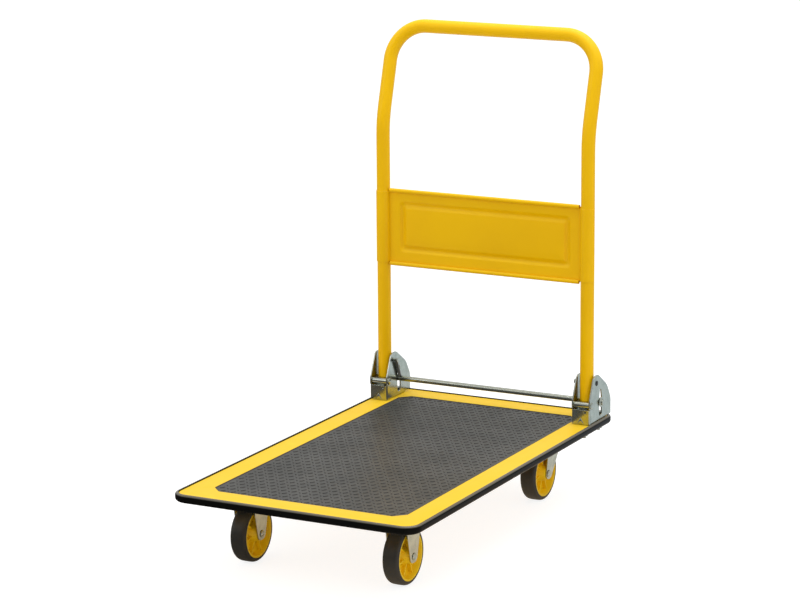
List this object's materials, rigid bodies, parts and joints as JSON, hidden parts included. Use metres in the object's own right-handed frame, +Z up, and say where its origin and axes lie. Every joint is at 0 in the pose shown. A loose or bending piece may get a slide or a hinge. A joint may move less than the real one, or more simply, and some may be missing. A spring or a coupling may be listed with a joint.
{
  "type": "folding platform cart",
  "caption": "Flat-deck push cart with a rubber-matted platform, fixed front and swivel rear casters, and a push handle that folds down over the deck.",
  "frame": {"origin": "on the floor, under the middle of the deck", "axes": "+Z up, +Y along the deck towards the push handle (the swivel casters' end), +X across the deck, to the right when facing the handle from the deck"},
  "size_m": [0.47, 0.828, 0.865],
  "materials": {
    "yellow_powder_coat": "smooth yellow powder coat on pressed sheet and tube",
    "zinc_plate": "bright zinc plate with a faint green-blue cast",
    "mat_rubber": "grey rubber sheet with rows of small raised dashes",
    "bumper_vinyl": "black soft vinyl edging with a broad sheen",
    "hub_plastic": "orange-yellow moulded nylon",
    "tyre_rubber": "black moulded rubber tread",
    "plug_plastic": "black plastic tube plug",
    "spring_steel": "plated spring wire"
  },
  "bodies": {
    "deck": {"bracket_bolts": "zinc_plate", "bracket_nuts": "zinc_plate", "caster_bolts": "zinc_plate", "caster_nuts": "zinc_plate", "deck_mat": "mat_rubber", "deck_plate": "yellow_powder_coat", "edge_bumper": "bumper_vinyl", "front_axle_bolts": "zinc_plate", "front_axle_nuts": "zinc_plate", "front_axle_sleeves": "zinc_plate", "front_cross_rail": "yellow_powder_coat", "front_left_fork": "zinc_plate", "front_right_fork": "zinc_plate", "left_bracket_doubler": "yellow_powder_coat", "left_deck_stiffener": "yellow_powder_coat", "left_handle_bracket": "zinc_plate", "left_pivot_pin": "zinc_plate", "left_release_spring": "spring_steel", "rear_cross_rail": "yellow_powder_coat", "rear_left_kingpin": "zinc_plate", "rear_left_top_plate": "zinc_plate", "rear_right_kingpin": "zinc_plate", "rear_right_top_plate": "zinc_plate", "right_bracket_doubler": "yellow_powder_coat", "right_deck_stiffener": "yellow_powder_coat", "right_handle_bracket": "zinc_plate", "right_pivot_pin": "zinc_plate", "right_release_spring": "spring_steel", "spring_anchors": "zinc_plate"},
    "handle": {"handle_tube": "yellow_powder_coat", "handle_panel": "yellow_powder_coat", "handle_foot_plugs": "plug_plastic", "left_pivot_knuckle": "zinc_plate", "right_pivot_knuckle": "zinc_plate"},
    "foot_bar": {"release_bar": "zinc_plate", "release_bar_washers": "zinc_plate"},
    "rear_left_swivel": {"rear_left_fork": "zinc_plate", "rear_left_swivel_balls": "zinc_plate", "rear_left_axle_bolt": "zinc_plate", "rear_left_axle_nut": "zinc_plate", "rear_left_axle_sleeve": "zinc_plate"},
    "rear_right_swivel": {"rear_right_fork": "zinc_plate", "rear_right_swivel_balls": "zinc_plate", "rear_right_axle_bolt": "zinc_plate", "rear_right_axle_nut": "zinc_plate", "rear_right_axle_sleeve": "zinc_plate"},
    "front_left_wheel": {"front_left_tyre": "tyre_rubber", "front_left_hub": "hub_plastic"},
    "front_right_wheel": {"front_right_tyre": "tyre_rubber", "front_right_hub": "hub_plastic"},
    "rear_left_wheel": {"rear_left_tyre": "tyre_rubber", "rear_left_hub": "hub_plastic"},
    "rear_right_wheel": {"rear_right_tyre": "tyre_rubber", "rear_right_hub": "hub_plastic"}
  },
  "joints": [
    {"name": "handle_fold", "type": "hinge", "parent": "deck", "child": "handle", "pos_m": [0, 0.31522, 0.178], "axis": [1, 0, 0], "range_deg": [0, 90]},
    {"name": "foot_bar_press", "type": "slide", "parent": "deck", "child": "foot_bar", "axis": [0, 0, -1], "range_m": [0, 0.014], "stiffness_N_per_m": 1500, "springref_m": -0.015, "deforming": ["left_release_spring", "right_release_spring"]},
    {"name": "rear_left_swivel_turn", "type": "hinge", "parent": "deck", "child": "rear_left_swivel", "pos_m": [-0.14, 0.307, 0.125], "axis": [0, 0, 1], "continuous": true},
    {"name": "rear_right_swivel_turn", "type": "hinge", "parent": "deck", "child": "rear_right_swivel", "pos_m": [0.14, 0.307, 0.125], "axis": [0, 0, 1], "continuous": true},
    {"name": "front_left_wheel_spin", "type": "hinge", "parent": "deck", "child": "front_left_wheel", "pos_m": [-0.148, -0.285, 0.051], "axis": [1, 0, 0], "continuous": true},
    {"name": "front_right_wheel_spin", "type": "hinge", "parent": "deck", "child": "front_right_wheel", "pos_m": [0.148, -0.285, 0.051], "axis": [1, 0, 0], "continuous": true},
    {"name": "rear_left_wheel_spin", "type": "hinge", "parent": "rear_left_swivel", "child": "rear_left_wheel", "pos_m": [-0.14, 0.275, 0.051], "axis": [1, 0, 0], "continuous": true},
    {"name": "rear_right_wheel_spin", "type": "hinge", "parent": "rear_right_swivel", "child": "rear_right_wheel", "pos_m": [0.14, 0.275, 0.051], "axis": [1, 0, 0], "continuous": true}
  ]
}
